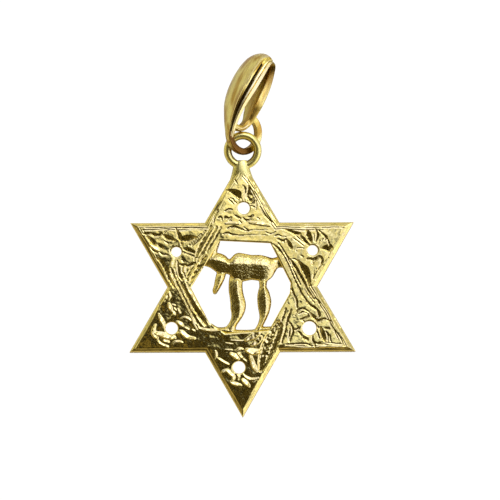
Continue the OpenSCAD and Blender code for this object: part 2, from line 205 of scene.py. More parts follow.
# Graver's strokes on the plate, as (height, (x, y, width), ...). First, cuts that look away from the softbox
SHADES = [
    # Top point
    (0.16, (-1.8, 11.3, 0.14), (-1.3, 11.2, 0.44), (-0.85, 11.0, 0.84), (-0.5, 10.8, 0.96),
     (-0.3, 10.4, 0.44)),
    (0.12, (-0.95, 10.6, 0.1), (-0.62, 10.3, 0.2), (-0.35, 10.08, 0.12)),
    (0.1, (-0.28, 10.8, 0.16), (-0.15, 10.4, 0.14), (0.02, 10.05, 0.1)),
    (0.12, (0.1, 11.8, 0.14), (0.36, 11.5, 0.3), (0.46, 11.0, 0.42), (0.36, 10.1, 0.24)),
    (0.14, (0.62, 11.4, 0.14), (0.68, 10.8, 0.26), (0.6, 10.1, 0.2)),
    (0.16, (0.8, 11.7, 0.3), (0.95, 11.2, 0.9), (1.0, 10.65, 1.2), (1.1, 10.15, 0.7)),
    (0.12, (0.5, 10.9, 0.3), (0.6, 10.5, 0.5), (0.7, 10.1, 0.3)),
    (0.12, (1.0, 10.3, 0.24), (1.35, 10.35, 0.26), (1.6, 10.45, 0.14)),
    (0.14, (1.0, 9.65, 0.18), (1.3, 9.82, 0.34), (1.62, 10.05, 0.2)),
    (0.1, (1.65, 9.95, 0.12), (1.72, 9.4, 0.14), (1.6, 9.0, 0.1)),
    (0.1, (1.05, 9.4, 0.14), (1.4, 9.3, 0.2)),
    (0.1, (1.7, 10.15, 0.14), (1.95, 10.4, 0.16)),
    (0.12, (-1.55, 10.2, 0.16), (-1.25, 9.95, 0.24), (-1.0, 9.7, 0.16)),
    (0.1, (-1.35, 10.32, 0.14), (-1.0, 10.22, 0.18)),
    (0.1, (-0.95, 10.02, 0.14), (-0.62, 9.72, 0.14)),
    (0.08, (-2.0, 8.8, 0.16), (-1.55, 9.03, 0.2), (-1.15, 8.98, 0.16)),
    (0.14, (-0.85, 8.3, 0.16), (-0.55, 8.12, 0.28), (-0.2, 7.98, 0.14)),
    (0.14, (0.72, 8.05, 0.16), (1.0, 8.12, 0.3), (1.25, 8.3, 0.26)),
    (0.1, (0.1, 8.02, 0.12), (0.45, 7.72, 0.26), (0.98, 7.85, 0.16)),
    (0.1, (-0.3, 7.7, 0.14), (-0.07, 7.4, 0.16)),
    (0.12, (-2.75, 8.02, 0.2), (-2.5, 8.12, 0.3), (-2.3, 7.8, 0.2)),
    (0.14, (-2.1, 7.9, 0.2), (-1.9, 8.1, 0.36), (-1.55, 7.95, 0.2), (-1.3, 8.05, 0.24)),
    (0.08, (-1.55, 7.72, 0.18), (-1.3, 7.72, 0.16)),
    (0.14, (2.1, 9.3, 0.1), (2.47, 8.66, 0.24), (2.85, 8.15, 0.28), (3.4, 7.5, 0.16)),
    (0.08, (-2.75, 9.0, 0.12), (-3.1, 8.2, 0.2), (-3.3, 7.5, 0.12)),
    # Upper right point
    (0.16, (5.05, 6.6, 0.2), (5.6, 6.42, 0.36), (6.2, 6.22, 0.52), (6.65, 6.12, 0.34)),
    (0.16, (6.75, 5.9, 0.2), (7.2, 5.4, 0.44), (7.65, 4.88, 0.28)),
    (0.16, (7.55, 6.42, 0.4), (7.68, 5.95, 0.74), (7.88, 5.45, 0.56), (8.02, 5.1, 0.2)),
    (0.16, (8.52, 6.65, 0.12), (8.75, 6.15, 0.4), (8.68, 5.65, 0.4), (8.52, 5.2, 0.2)),
    (0.14, (8.85, 6.5, 0.12), (9.35, 6.08, 0.24), (9.72, 5.7, 0.38), (9.62, 5.4, 0.28)),
    (0.12, (8.75, 4.9, 0.14), (9.0, 5.3, 0.16)),
    (0.12, (8.85, 4.75, 0.12), (9.4, 5.45, 0.16)),
    (0.18, (9.1, 4.35, 0.2), (9.55, 4.45, 0.6), (10.02, 4.45, 0.98)),
    (0.12, (9.9, 5.45, 0.14), (10.08, 4.95, 0.24), (10.3, 4.15, 0.16)),
    (0.16, (8.1, 2.6, 0.3), (8.15, 2.98, 0.46), (8.6, 3.22, 0.42), (9.0, 3.42, 0.34), (9.25, 3.05, 0.36),
     (9.1, 2.45, 0.36), (8.75, 1.9, 0.2)),
    (0.12, (7.55, 3.18, 0.26), (7.95, 3.18, 0.34)),
    (0.1, (6.82, 3.55, 0.2), (7.0, 3.45, 0.26)),
    (0.06, (6.2, 4.1, 0.08), (6.35, 4.45, 0.14), (6.75, 4.47, 0.12), (7.2, 4.38, 0.08)),
    (0.16, (5.18, 5.32, 0.26), (5.42, 4.95, 0.5), (5.68, 4.5, 0.42)),
    (0.12, (4.2, 5.5, 0.2), (4.7, 5.28, 0.26), (5.1, 5.48, 0.18)),
    (0.08, (8.6, 1.9, 0.2), (8.3, 1.3, 0.34), (8.2, 0.9, 0.2)),
    # Top band, and where the side bands pass over it
    (0.12, (-1.7, 6.75, 0.1), (-1.3, 6.95, 0.24), (-0.8, 6.95, 0.3), (-0.1, 6.68, 0.2), (0.7, 6.46, 0.1)),
    (0.1, (0.18, 6.98, 0.1), (0.5, 6.7, 0.16), (0.8, 6.5, 0.14), (1.15, 6.6, 0.14)),
    (0.12, (-2.25, 6.1, 0.12), (-1.7, 6.28, 0.26), (-1.2, 6.06, 0.22), (-0.45, 5.98, 0.14),
     (0.1, 5.94, 0.1)),
    (0.06, (2.8, 6.3, 0.1), (3.3, 6.12, 0.14), (3.9, 6.4, 0.1)),
    (0.12, (3.8, 5.88, 0.16), (4.2, 5.98, 0.22), (4.6, 5.82, 0.12), (5.1, 5.76, 0.08)),
    (0.1, (4.6, 6.72, 0.12), (5.0, 6.62, 0.16)),
    (0.1, (4.1, 5.5, 0.14), (4.5, 5.35, 0.16), (4.85, 5.1, 0.12)),
    # Upper left band
    (0.29, (-3.55, 7.0, 0.2), (-4.05, 6.1, 0.38), (-4.55, 5.3, 0.46), (-4.95, 4.45, 0.5),
     (-5.25, 3.7, 0.36), (-5.5, 3.1, 0.2)),
    (0.29, (-2.95, 6.95, 0.2), (-3.4, 6.1, 0.36), (-3.85, 5.3, 0.4), (-4.35, 4.4, 0.38),
     (-4.8, 3.6, 0.34), (-5.2, 2.9, 0.2)),
    (0.26, (-2.45, 6.85, 0.2), (-2.9, 6.05, 0.34), (-3.35, 5.3, 0.34), (-3.8, 4.5, 0.3), (-4.1, 4.0, 0.16)),
    (0.2, (-4.2, 6.5, 0.16), (-4.75, 5.8, 0.3), (-5.25, 5.25, 0.32), (-5.8, 4.75, 0.2)),
    (0.12, (-4.7, 6.15, 0.12), (-5.4, 5.5, 0.24), (-6.1, 4.8, 0.16)),
    (0.32, (-4.2, 3.5, 0.34), (-4.55, 2.95, 0.66), (-5.0, 2.2, 0.76), (-5.5, 1.35, 0.56),
     (-5.95, 0.6, 0.3)),
    (0.2, (-5.4, 2.6, 0.3), (-5.85, 1.95, 0.46), (-6.25, 1.25, 0.44)),
    # Upper left point
    (0.12, (-11.45, 6.25, 0.14), (-11.1, 6.2, 0.38), (-10.65, 6.24, 0.28)),
    (0.12, (-10.6, 6.3, 0.1), (-10.2, 6.05, 0.34), (-9.65, 6.02, 0.34), (-9.3, 6.25, 0.14)),
    (0.18, (-11.05, 5.88, 0.2), (-10.62, 5.55, 0.44), (-10.25, 5.18, 0.56), (-10.02, 4.9, 0.24)),
    (0.12, (-10.65, 4.65, 0.14), (-10.3, 4.25, 0.26), (-9.85, 3.98, 0.26)),
    (0.16, (-9.7, 4.95, 0.28), (-9.42, 4.7, 0.46), (-9.15, 4.45, 0.22)),
    (0.1, (-9.55, 4.0, 0.16), (-9.2, 3.75, 0.2), (-8.75, 3.75, 0.16)),
    (0.18, (-9.05, 5.98, 0.3), (-8.65, 5.75, 0.56), (-8.15, 5.58, 0.5), (-7.82, 5.4, 0.24)),
    (0.1, (-9.2, 5.85, 0.12), (-9.0, 6.3, 0.16), (-8.45, 6.7, 0.12)),
    (0.1, (-9.0, 5.3, 0.14), (-8.6, 5.1, 0.2)),
    (0.18, (-7.68, 6.8, 0.12), (-7.45, 6.3, 0.38), (-7.25, 5.85, 0.6), (-7.1, 5.4, 0.36),
     (-6.95, 4.8, 0.24)),
    (0.2, (-7.0, 5.55, 0.6), (-6.45, 5.6, 0.85), (-5.9, 5.68, 0.62), (-5.4, 5.75, 0.26)),
    (0.12, (-6.7, 4.4, 0.3), (-6.15, 4.25, 0.56), (-5.6, 4.0, 0.4)),
    (0.16, (-7.1, 4.1, 0.2), (-6.4, 3.9, 0.3), (-5.7, 3.6, 0.3), (-5.1, 3.28, 0.24)),
    (0.12, (-8.02, 4.75, 0.14), (-8.28, 4.35, 0.22), (-8.25, 3.85, 0.16)),
    (0.18, (-9.85, 3.3, 0.2), (-9.4, 3.0, 0.42), (-8.95, 2.3, 0.52), (-8.6, 1.5, 0.62), (-8.15, 0.6, 0.5),
     (-7.8, 0.0, 0.3)),
    (0.12, (-8.25, 2.2, 0.14), (-8.0, 1.6, 0.3), (-7.6, 0.8, 0.26)),
    (0.1, (-7.5, 3.0, 0.12), (-7.4, 2.3, 0.28), (-7.35, 1.7, 0.3), (-7.1, 1.1, 0.36), (-6.9, 0.8, 0.2)),
    (0.14, (-7.1, 2.55, 0.24), (-6.7, 2.5, 0.32), (-6.4, 2.4, 0.16)),
    (0.1, (-6.9, 2.3, 0.2), (-6.85, 1.7, 0.24)),
    (0.12, (-6.65, 1.6, 0.2), (-6.5, 1.1, 0.3), (-6.3, 0.7, 0.2)),
    (0.14, (-6.35, 2.35, 0.2), (-5.8, 2.58, 0.32), (-5.1, 2.95, 0.22)),
    (0.08, (-6.95, 3.15, 0.14), (-6.8, 2.9, 0.16)),
    # Left band, long bright reeds with dark cuts between them
    (0.16, (-7.65, 1.6, 0.12), (-7.15, 0.55, 0.26), (-6.6, -0.5, 0.26), (-6.1, -1.5, 0.28),
     (-5.35, -2.7, 0.42), (-4.6, -3.8, 0.36), (-4.15, -4.4, 0.2)),
    (0.16, (-8.15, 1.7, 0.12), (-7.6, 0.5, 0.2), (-7.1, -0.45, 0.2), (-6.6, -1.5, 0.2),
     (-6.15, -2.4, 0.24), (-5.65, -3.3, 0.26), (-5.2, -4.2, 0.22)),
    # Right band
    (0.16, (3.6, 4.9, 0.16), (4.2, 4.35, 0.28), (4.95, 3.3, 0.3), (5.4, 2.45, 0.32), (5.8, 1.5, 0.34),
     (6.15, 0.6, 0.3), (6.64, -0.5, 0.26), (7.2, -1.4, 0.24), (7.87, -2.25, 0.22), (8.45, -2.75, 0.14)),
    (0.14, (4.2, 5.05, 0.16), (4.9, 3.95, 0.24), (5.45, 2.95, 0.24), (5.9, 2.0, 0.24), (6.3, 1.0, 0.22),
     (6.7, 0.2, 0.14)),
    (0.1, (5.8, 3.22, 0.12), (6.1, 3.15, 0.2), (6.35, 2.9, 0.12)),
    (0.18, (5.55, 3.1, 0.2), (6.05, 2.35, 0.4), (6.55, 1.5, 0.42), (7.1, 0.55, 0.4), (7.6, -0.5, 0.3),
     (8.25, -1.45, 0.16)),
    (0.2, (6.42, 2.98, 0.22), (6.8, 2.5, 0.55), (7.2, 1.95, 0.95), (7.45, 1.4, 0.85), (7.6, 0.8, 0.6),
     (7.75, 0.1, 0.3)),
    (0.14, (5.5, 0.45, 0.16), (5.7, -0.4, 0.28), (6.05, -1.15, 0.3), (6.25, -1.8, 0.3), (6.25, -2.45, 0.2)),
    (0.14, (6.75, -0.75, 0.2), (7.2, -1.45, 0.26), (7.8, -2.15, 0.28), (8.35, -2.5, 0.3),
     (8.6, -2.85, 0.2)),
    (0.12, (8.3, -1.35, 0.14), (8.6, -1.6, 0.22), (8.85, -2.0, 0.2)),
    # Lower right point
    (0.14, (6.0, -3.35, 0.18), (6.4, -2.78, 0.28), (6.9, -2.6, 0.26), (7.3, -2.74, 0.24),
     (7.62, -2.95, 0.16)),
    (0.08, (6.5, -3.2, 0.12), (7.0, -2.98, 0.16), (7.45, -3.1, 0.12)),
    (0.16, (6.68, -3.85, 0.2), (7.1, -3.7, 0.32), (7.62, -3.44, 0.18)),
    (0.12, (6.75, -3.85, 0.2), (7.08, -4.08, 0.18)),
    (0.16, (7.85, -3.15, 0.2), (8.15, -3.48, 0.5), (8.5, -3.8, 0.42), (8.6, -4.1, 0.2)),
    (0.14, (8.5, -2.6, 0.2), (8.75, -3.05, 0.4), (8.85, -3.4, 0.36), (8.6, -3.6, 0.2)),
    (0.16, (8.35, -3.98, 0.2), (8.8, -3.95, 0.32), (9.2, -3.82, 0.28), (9.6, -3.78, 0.22),
     (10.05, -4.0, 0.2)),
    (0.12, (8.65, -4.65, 0.14), (8.95, -5.15, 0.2)),
    (0.2, (8.95, -4.8, 0.24), (9.15, -5.3, 0.6), (9.35, -5.8, 0.72), (9.42, -6.15, 0.4)),
    (0.12, (9.58, -4.85, 0.3), (9.88, -4.9, 0.3)),
    (0.12, (9.6, -5.25, 0.16), (9.85, -5.8, 0.3), (9.75, -6.25, 0.2)),
    (0.1, (10.0, -5.75, 0.16), (10.1, -6.3, 0.22)),
    (0.1, (8.45, -5.0, 0.12), (8.65, -5.5, 0.22), (8.75, -5.95, 0.16)),
    (0.14, (8.0, -5.7, 0.16), (8.05, -6.2, 0.28), (8.25, -6.6, 0.3), (8.3, -6.95, 0.2)),
    (0.14, (7.05, -5.95, 0.32), (7.42, -6.1, 0.34)),
    (0.12, (6.52, -5.35, 0.26), (6.72, -5.6, 0.26)),
    (0.12, (6.05, -5.05, 0.18), (6.48, -4.86, 0.24)),
    (0.14, (5.0, -6.7, 0.16), (6.27, -6.65, 0.2), (7.4, -6.65, 0.2), (7.9, -6.92, 0.14)),
    (0.1, (8.45, -6.6, 0.16), (9.6, -6.7, 0.16)),
    (0.14, (5.6, -2.75, 0.2), (5.32, -3.4, 0.32), (5.15, -4.0, 0.32), (4.95, -4.65, 0.22)),
    (0.12, (5.0, -2.55, 0.16), (4.8, -3.2, 0.28), (4.5, -3.95, 0.28)),
    (0.14, (5.35, -4.15, 0.14), (5.75, -4.75, 0.26), (5.78, -5.4, 0.32), (5.48, -6.0, 0.26),
     (5.4, -6.4, 0.16)),
    (0.12, (5.45, -4.9, 0.14), (5.35, -5.5, 0.24), (5.3, -6.3, 0.18)),
    (0.12, (5.0, -4.85, 0.18), (4.75, -5.6, 0.24), (4.45, -6.5, 0.2)),
    # Lower right band, over the bottom one
    (0.22, (4.2, -4.3, 0.7), (3.6, -5.6, 1.5), (3.05, -7.0, 1.7), (2.5, -8.5, 1.3), (2.15, -9.5, 0.7)),
    (0.18, (3.85, -4.35, 0.3), (3.3, -5.2, 0.6), (2.75, -6.1, 0.62), (2.35, -7.0, 0.56),
     (2.1, -8.0, 0.54), (2.0, -9.3, 0.4)),
    (0.16, (4.1, -4.5, 0.3), (3.7, -5.4, 0.42), (3.25, -6.3, 0.42), (2.85, -7.4, 0.5), (2.55, -8.4, 0.46),
     (2.3, -9.2, 0.3)),
    (0.18, (4.5, -4.5, 0.3), (4.2, -5.3, 0.5), (3.85, -6.2, 0.54), (3.45, -7.2, 0.5), (3.05, -8.0, 0.4),
     (2.7, -8.7, 0.26)),
]
# Raised leaves whose long side falls towards the softbox
PETALS = [
    # Top point
    (0.12, (0.9, 7.45, 0.2), (1.7, 7.4, 0.36), (2.5, 7.25, 0.36), (3.2, 7.1, 0.2)),
    (0.1, (-1.9, 7.35, 0.16), (-1.1, 7.42, 0.26), (-0.4, 7.3, 0.16)),
    # Upper left band
    (0.1, (-3.2, 6.9, 0.12), (-3.7, 6.0, 0.2), (-4.2, 5.1, 0.2), (-4.7, 4.2, 0.16)),
    (0.1, (-2.7, 6.9, 0.12), (-3.15, 6.0, 0.2), (-3.6, 5.1, 0.2), (-4.1, 4.3, 0.16)),
    # Upper left point
    (0.14, (-10.8, 5.2, 0.14), (-10.38, 4.75, 0.36), (-9.9, 4.42, 0.38), (-9.65, 4.2, 0.16)),
    (0.1, (-7.4, 5.45, 0.12), (-7.2, 5.2, 0.26), (-7.25, 4.9, 0.14)),
    # Left band, long bright reeds with dark cuts between them
    (0.16, (-8.35, 1.5, 0.12), (-7.8, 0.4, 0.24), (-7.3, -0.4, 0.28), (-6.85, -1.3, 0.26),
     (-6.35, -2.3, 0.26), (-5.85, -3.4, 0.26), (-5.5, -4.4, 0.26), (-5.2, -4.95, 0.16)),
    (0.14, (-7.9, 2.0, 0.12), (-7.4, 0.85, 0.22), (-6.9, -0.4, 0.22), (-6.4, -1.35, 0.2),
     (-5.9, -2.4, 0.18), (-5.35, -3.2, 0.14)),
    (0.14, (-6.75, 0.9, 0.16), (-6.2, -0.35, 0.26), (-5.67, -1.3, 0.26), (-4.9, -2.5, 0.26),
     (-4.0, -3.7, 0.26), (-3.3, -4.6, 0.2)),
    (0.14, (-5.75, -3.1, 0.12), (-5.3, -4.1, 0.2), (-4.9, -4.9, 0.14)),
    (0.12, (-5.2, -3.5, 0.12), (-4.75, -4.2, 0.18), (-4.4, -4.6, 0.12)),
    (0.12, (-4.67, 3.67, 0.12), (-5.33, 2.4, 0.2), (-5.9, 1.4, 0.2), (-6.33, 0.55, 0.16)),
    (0.12, (-4.4, 2.3, 0.14), (-5.1, 1.4, 0.2), (-5.95, 0.15, 0.18)),
    (0.12, (-7.95, 3.2, 0.3), (-8.15, 2.5, 0.4), (-8.3, 1.9, 0.25)),
    (0.14, (-6.6, 2.35, 0.24), (-6.65, 1.9, 0.3), (-6.55, 1.4, 0.16)),
    (0.1, (-9.67, 3.0, 0.1), (-8.95, 1.8, 0.18), (-8.45, 0.9, 0.12)),
    # Lower right point
    (0.05, (8.8, -6.95, 0.1), (10.5, -6.95, 0.14), (11.7, -6.95, 0.1)),
    # Lower right band, over the bottom one
    (0.14, (4.75, -4.9, 0.16), (4.5, -5.9, 0.26), (4.0, -7.1, 0.26), (3.3, -8.3, 0.24), (2.6, -9.6, 0.16)),
    (0.08, (4.1, -4.6, 0.14), (3.75, -5.5, 0.2), (3.3, -6.5, 0.18)),
    (0.1, (2.62, -7.32, 0.16), (3.0, -7.15, 0.26)),
    (0.12, (2.95, -6.95, 0.14), (3.2, -6.75, 0.24)),
    (0.12, (3.25, -6.5, 0.2), (3.5, -6.25, 0.26)),
    (0.1, (3.3, -5.85, 0.14), (3.45, -5.55, 0.2)),
    # Bottom band
    (0.08, (-1.3, -6.2, 0.08), (-0.6, -6.22, 0.14), (0.1, -6.26, 0.12), (0.5, -6.1, 0.16)),
    (0.08, (-1.95, -6.48, 0.08), (-1.55, -6.56, 0.14), (-1.15, -6.6, 0.1)),
    (0.08, (-1.95, -7.24, 0.08), (-1.55, -7.28, 0.16), (-1.2, -7.3, 0.1)),
    (0.16, (0.35, -6.2, 0.3), (0.95, -5.9, 0.6), (1.55, -5.5, 0.8), (1.9, -5.0, 0.4)),
    (0.14, (1.1, -6.75, 0.4), (1.65, -6.35, 0.7), (2.05, -5.9, 0.5)),
    (0.1, (-5.0, -4.75, 0.2), (-4.2, -4.95, 0.3), (-3.2, -5.05, 0.26), (-2.2, -5.0, 0.16)),
    # Bottom point
    (0.14, (-3.1, -7.45, 0.18), (-2.98, -7.9, 0.3), (-3.15, -8.35, 0.14)),
    (0.14, (-2.88, -8.22, 0.16), (-2.3, -8.55, 0.3), (-1.6, -8.95, 0.16)),
    (0.16, (-2.3, -9.75, 0.28), (-1.8, -9.62, 0.36), (-1.4, -9.98, 0.38), (-1.0, -10.35, 0.4),
     (-1.15, -10.85, 0.26)),
    (0.16, (-1.3, -10.95, 0.28), (-0.75, -11.2, 0.38), (-0.22, -11.3, 0.2)),
    (0.1, (-0.7, -9.95, 0.2), (-0.45, -10.3, 0.3), (-0.5, -10.7, 0.2)),
    (0.16, (-1.32, -7.75, 0.3), (-0.9, -7.95, 0.54), (-0.5, -8.25, 0.4)),
    (0.14, (-0.78, -7.45, 0.2), (-0.35, -7.18, 0.34), (0.0, -7.2, 0.16)),
    (0.12, (-0.45, -7.75, 0.36), (-0.1, -8.1, 0.3)),
    (0.18, (0.5, -7.3, 0.44), (1.1, -7.5, 0.8), (1.85, -7.5, 0.5)),
    (0.18, (0.95, -8.05, 0.4), (1.12, -8.65, 0.46), (1.35, -9.25, 0.52), (1.62, -9.75, 0.32)),
    (0.08, (0.1, -8.35, 0.16), (0.35, -8.55, 0.2)),
    (0.14, (0.05, -10.05, 0.18), (0.45, -10.42, 0.3), (1.0, -10.65, 0.3), (1.72, -10.55, 0.18)),
    (0.16, (0.0, -10.7, 0.3), (0.35, -11.02, 0.5), (0.75, -11.42, 0.24)),
    (0.12, (1.15, -11.0, 0.2), (1.5, -10.78, 0.26), (1.8, -10.5, 0.14)),
    (0.1, (0.9, -12.3, 0.12), (1.9, -10.7, 0.24), (2.9, -9.1, 0.24), (3.9, -7.5, 0.16)),
    # Lower left point
    (0.16, (-8.45, -1.95, 0.22), (-8.3, -2.35, 0.5), (-8.12, -2.75, 0.28)),
    (0.1, (-8.05, -2.05, 0.12), (-7.75, -2.15, 0.18)),
    (0.1, (-7.85, -2.45, 0.14), (-7.65, -2.7, 0.18)),
    (0.16, (-7.95, -2.85, 0.16), (-7.82, -3.18, 0.32), (-8.1, -3.5, 0.32), (-8.48, -3.82, 0.28)),
    (0.18, (-9.62, -3.15, 0.2), (-9.38, -3.6, 0.42), (-9.1, -4.15, 0.44), (-8.98, -4.75, 0.24)),
    (0.18, (-10.0, -4.4, 0.2), (-10.2, -4.95, 0.5), (-10.1, -5.5, 0.56), (-9.8, -5.9, 0.28)),
    (0.16, (-9.9, -5.3, 0.4), (-9.2, -5.5, 0.66), (-8.5, -5.72, 0.66), (-7.8, -5.85, 0.36)),
    (0.14, (-9.85, -5.9, 0.16), (-9.55, -6.4, 0.26), (-9.05, -6.72, 0.26), (-8.62, -6.85, 0.28),
     (-8.5, -7.05, 0.14)),
    (0.1, (-9.0, -6.15, 0.3), (-8.5, -6.35, 0.3)),
    (0.14, (-8.05, -6.6, 0.2), (-7.7, -6.33, 0.28), (-7.15, -6.28, 0.22), (-6.88, -6.42, 0.12)),
    (0.18, (-7.4, -5.3, 0.3), (-6.98, -5.2, 0.46), (-6.55, -5.6, 0.48), (-6.1, -5.85, 0.38),
     (-5.5, -5.95, 0.26)),
    (0.16, (-7.48, -4.05, 0.26), (-7.08, -4.25, 0.4), (-6.82, -4.5, 0.24)),
    (0.12, (-7.15, -3.75, 0.14), (-6.75, -3.5, 0.22), (-6.3, -3.6, 0.3), (-5.92, -3.88, 0.18)),
    (0.08, (-5.75, -4.95, 0.16), (-5.5, -5.05, 0.2)),
    (0.08, (-9.0, -0.7, 0.16), (-8.75, -1.2, 0.3), (-9.0, -1.75, 0.2)),
    (0.08, (-8.45, -0.6, 0.2), (-8.3, -1.1, 0.3), (-8.5, -1.6, 0.16)),
    (0.08, (-9.5, -1.7, 0.16), (-9.6, -2.4, 0.26), (-10.0, -3.1, 0.2)),
    (0.06, (-7.4, -2.6, 0.2), (-7.2, -3.0, 0.3)),
    (0.06, (-6.6, -4.7, 0.16), (-6.2, -4.9, 0.24)),
]
# Plain V cuts
GROOVES = [
    # Top point
    (0.05, (1.8, 8.03, 0.14), (1.98, 7.85, 0.16)),
    (0.06, (0.5, 13.0, 0.14), (1.05, 11.9, 0.2), (1.5, 11.3, 0.14)),
    (0.05, (1.25, 12.3, 0.12), (1.9, 11.1, 0.14)),
    (0.08, (1.9, 10.8, 0.14), (2.7, 9.3, 0.2), (3.6, 7.8, 0.14)),
    (0.05, (-1.0, 12.7, 0.16), (-0.6, 12.1, 0.2)),
    (0.05, (-2.4, 9.9, 0.12), (-3.0, 8.8, 0.16), (-3.4, 7.9, 0.12)),
    # Upper right point
    (0.09, (10.4, 4.3, 0.1), (9.5, 2.7, 0.17), (8.45, 0.75, 0.12)),
    (0.08, (6.2, 5.9, 0.1), (6.8, 5.35, 0.16), (7.3, 4.9, 0.1)),
    (0.06, (5.9, 5.6, 0.1), (6.5, 5.15, 0.14), (7.1, 4.7, 0.1)),
    (0.08, (8.3, 6.1, 0.1), (8.32, 5.2, 0.12)),
    (0.06, (10.0, 3.3, 0.12), (8.9, 1.6, 0.14)),
    (0.04, (6.8, 6.95, 0.1), (8.2, 6.98, 0.12)),
    (0.04, (9.2, 6.8, 0.1), (11.2, 6.85, 0.12)),
    # Top band, and where the side bands pass over it
    (0.05, (0.1, 5.96, 0.08), (1.2, 6.03, 0.08), (2.7, 5.98, 0.06)),
    (0.05, (1.3, 6.6, 0.08), (2.2, 6.57, 0.08), (3.0, 6.6, 0.06)),
    # Upper left point
    (0.05, (-11.2, 6.85, 0.12), (-9.0, 6.9, 0.12)),
    (0.05, (-7.0, 6.85, 0.12), (-4.6, 6.8, 0.14)),
    # Right band
    (0.1, (7.2, -0.4, 0.16), (7.7, -1.2, 0.22), (8.25, -1.9, 0.16)),
    # Lower right point
    (0.05, (9.2, -1.3, 0.12), (10.2, -3.0, 0.16), (11.2, -4.8, 0.12)),
    (0.05, (9.4, -2.9, 0.12), (10.4, -4.9, 0.16), (10.9, -6.0, 0.12)),
]


def stroke_reach(points, rows):
    """Distance from a stroke's middle line as a share of half its width, above 0 on the softbox side."""
    path = curve(rows, steps=4)
    best = np.full(len(points), 1e9)
    share = np.full(len(points), 9.0)
    left = np.zeros(2)
    for a, b in zip(path, path[1:]):
        run = b[:2] - a[:2]
        left += (-run[1], run[0])
        span = points - a[:2]
        t = np.clip(span @ run / max(run @ run, 1e-9), 0, 1)
        off = span - t[:, None] * run
        dist = np.hypot(off[:, 0], off[:, 1])
        side = np.sign(run[0] * off[:, 1] - run[1] * off[:, 0])
        near = dist < best
        best[near] = dist[near]
        share[near] = (side * dist / (0.5 * (a[2] + (b[2] - a[2]) * t)))[near]
    return share * (1 if left @ LIT_SIDE > 0 else -1)


def star_depth(x, y):
    """How far a point of the plan lies inside the star's outline."""
    def triangle(turn):
        sides = [SIDE_R - x * cos(radians(turn + a)) - y * sin(radians(turn + a)) for a in (30, 150, 270)]
        return np.minimum.reduce(sides)
    return np.maximum(triangle(0), triangle(60))


def segment_distance(points, corners):
    """Distance of points to a convex outline, whether they are inside it, and the nearest places on it."""
    dist = np.full(len(points), 1e9)
    inside = np.full(len(points), True)
    nearest = np.zeros_like(points)
    for a, b in zip(corners, np.roll(corners, -1, axis=0)):
        run = b - a
        t = np.clip((points - a) @ run / (run @ run), 0, 1)
        foot = a + t[:, None] * run
        d = np.hypot(*(points - foot).T)
        inside &= run[0] * (points - a)[:, 1] - run[1] * (points - a)[:, 0] > 0
        near = d < dist
        dist[near] = d[near]
        nearest[near] = foot[near]
    return dist, inside, nearest


def coords(verts):
    """Table of the places of some corners."""
    return np.array([v.co[:] for v in verts])


def noise_at(points, spacing, layer):
    """Smooth noise from -1 to 1 over points of the plan."""
    return np.array([noise.noise((x / spacing, y / spacing, layer)) for x, y in points])


def engraving(xy):
    """Height that the graver's strokes add to the front of the plate and take from it."""
    shaken = np.column_stack([noise_at(xy, SHAKE_STEP, layer) for layer in (3, 13)])
    pressed = noise_at(xy, PRESS_STEP, layer=8)
    hand = xy + SHAKE * shaken
    raised, cut = np.zeros(len(xy)), np.zeros(len(xy))
    for strokes, target, steep in [(SHADES, cut, SHADE_WALL), (PETALS, raised, PETAL_WALL),
                                   (GROOVES, cut, None)]:
        for height, *rows in strokes:
            table = np.array(rows)
            widest = table[:, 2].max()
            pad = 0.6 * widest
            low, high = table[:, :2].min(0) - pad, table[:, :2].max(0) + pad
            here = np.flatnonzero(((hand > low) & (hand < high)).all(1))
            share = stroke_reach(hand[here], rows)
            here, share = here[np.abs(share) < 1], share[np.abs(share) < 1]
            ramp = (share + 1) / 2
            shape = np.minimum(1 - ramp, ramp / steep) if steep else 1 - np.abs(share)
            shape = shape * min(1.0, STEEPEST * widest / height) * (1 + PRESS * pressed[here])
            target[here] = np.maximum(target[here], height * shape)
    return raised - cut


def plate_height(xy):
    """Height of the front of the plate over points of the plan."""
    depth = star_depth(*xy.T) * (1 + RIM_WANDER * noise_at(xy, RIM_STEP, layer=5))
    z = FIELD_Z - RIM_DROP * np.interp(depth / RIM_W, *RIM_ROUND)
    for middle, half, deep in RIM_LINES:
        strength = np.clip(LINE_SHARE + LINE_CHANGE * noise_at(xy, LINE_STEP, layer=middle * 9), 0, 1)
        if middle > RIM_W:
            strength = strength * np.clip((xy @ LIGHT_SIDE) / FADE_STEP + FADE_START, 0, 1)
        z -= deep * np.clip(1 - np.abs(depth - middle) / half, 0, 1) * strength
    z -= FALL * np.maximum(0, -(xy @ LIGHT_SIDE) - FALL_START)
    z += engraving(xy)
    for spacing, high in HAMMERED:
        z += high * noise_at(xy, spacing, layer=spacing * 7)
    edges = [(np.hypot(*(xy - (hx, hy)).T) - r, HOLE_LIP) for hx, hy, r in HOLES]
    for away, (width, drop) in [*edges, (segment_distance(xy, WINDOW_XY)[0], WINDOW_LIP)]:
        z -= drop * np.clip(1 - away / width, 0, 1) ** 2
    return z


